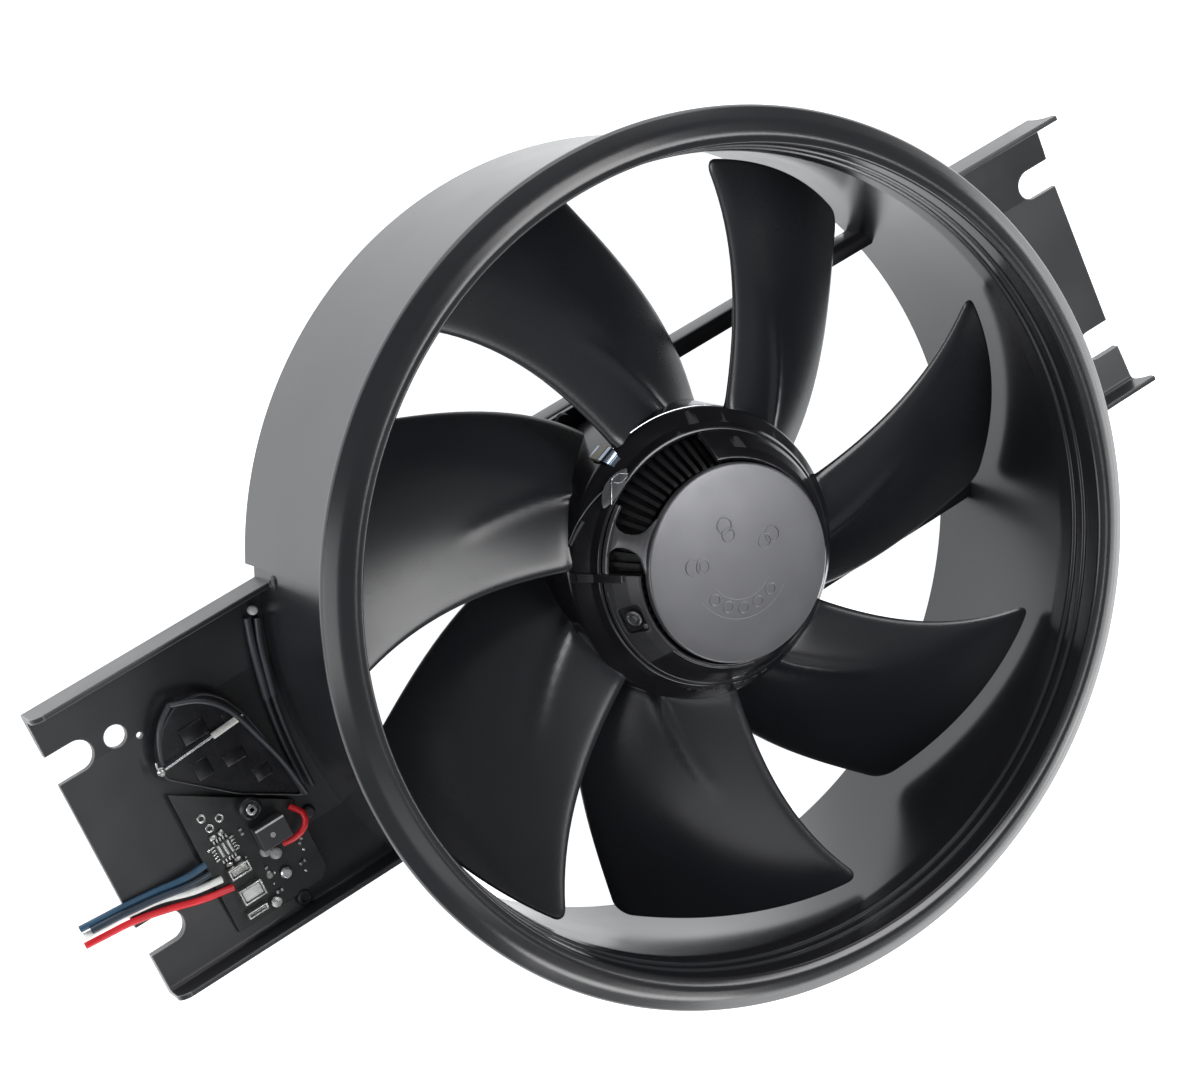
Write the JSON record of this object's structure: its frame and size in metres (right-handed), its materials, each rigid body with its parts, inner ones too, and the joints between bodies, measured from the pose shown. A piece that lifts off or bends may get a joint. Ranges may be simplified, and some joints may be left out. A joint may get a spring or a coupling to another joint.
{
  "type": "ducted axial fan",
  "caption": "Black ducted axial fan with sickle blades, a grey-capped motor hub, a bell-mouth duct and slotted channel arms, with an open motor driver and flying leads on one arm.",
  "frame": {"origin": "on the fan's axis in the plane of the duct's rear rim, which is the middle of the object's base", "axes": "+Z is the fan's axis, out of the bell mouth; +X runs along the arms, away from the one that carries the driver; +Y completes the frame"},
  "size_m": [0.5152, 0.341, 0.116],
  "materials": {
    "gloss_black": "semi-gloss black lacquer",
    "blade_black": "satin black moulding",
    "satin_grey": "fine satin",
    "steel": "plain",
    "dark_metal": "dark",
    "copper": "enamelled copper wire",
    "board": "solder-masked laminate",
    "black_part": "moulded",
    "tin": "tinned",
    "red_wire": "extruded",
    "white_wire": "extruded",
    "blue_wire": "extruded",
    "dark_wire": "extruded",
    "black_wire": "extruded"
  },
  "bodies": {
    "housing": {"duct_shroud": "gloss_black", "bell_mouth": "gloss_black", "left_arm_channel": "gloss_black", "right_arm_channel": "gloss_black", "upper_crossbar": "gloss_black", "lower_crossbar": "gloss_black", "motor_mount_plate": "gloss_black", "motor_base": "satin_grey", "front_bearing": "steel", "rear_bearing": "steel", "stator_core": "dark_metal", "stator_coils_front": "copper", "stator_coils_rear": "copper", "controller_board": "board", "potting_well": "black_part", "round_capacitor": "black_part", "relay_block": "black_part", "driver_chip": "black_part", "terminal_clip_1": "tin", "terminal_clip_2": "tin", "terminal_clip_3": "tin", "board_screw_1": "steel", "board_screw_2": "steel", "thermal_fuse": "tin", "fuse_post": "tin", "lead_blue": "blue_wire", "lead_dark": "dark_wire", "lead_white": "white_wire", "lead_red": "red_wire", "motor_wire_1": "black_wire", "motor_wire_2": "black_wire", "motor_wire_3": "black_wire", "jumper_wire": "red_wire", "frame_rivet_1": "dark_metal", "base_screw_1": "steel", "frame_rivet_2": "dark_metal", "base_screw_2": "steel", "frame_rivet_3": "dark_metal", "base_screw_3": "steel", "frame_rivet_4": "dark_metal", "base_screw_4": "steel"},
    "impeller": {"motor_shaft": "steel", "shaft_circlip": "steel", "rotor_cup": "dark_metal", "rotor_magnet_ring": "dark_metal", "rib_ring": "dark_metal", "impeller_hub": "gloss_black", "hub_dome": "gloss_black", "screw_pocket": "gloss_black", "hub_screw": "dark_metal", "hub_cap_disc": "satin_grey", "balance_clip": "steel", "fan_blade_1": "blade_black", "fan_blade_2": "blade_black", "fan_blade_3": "blade_black", "fan_blade_4": "blade_black", "fan_blade_5": "blade_black", "fan_blade_6": "blade_black", "fan_blade_7": "blade_black"}
  },
  "joints": [
    {"name": "impeller_spin", "type": "hinge", "parent": "housing", "child": "impeller", "pos_m": [0, 0, 0.06], "axis": [0, 0, 1], "continuous": true}
  ]
}
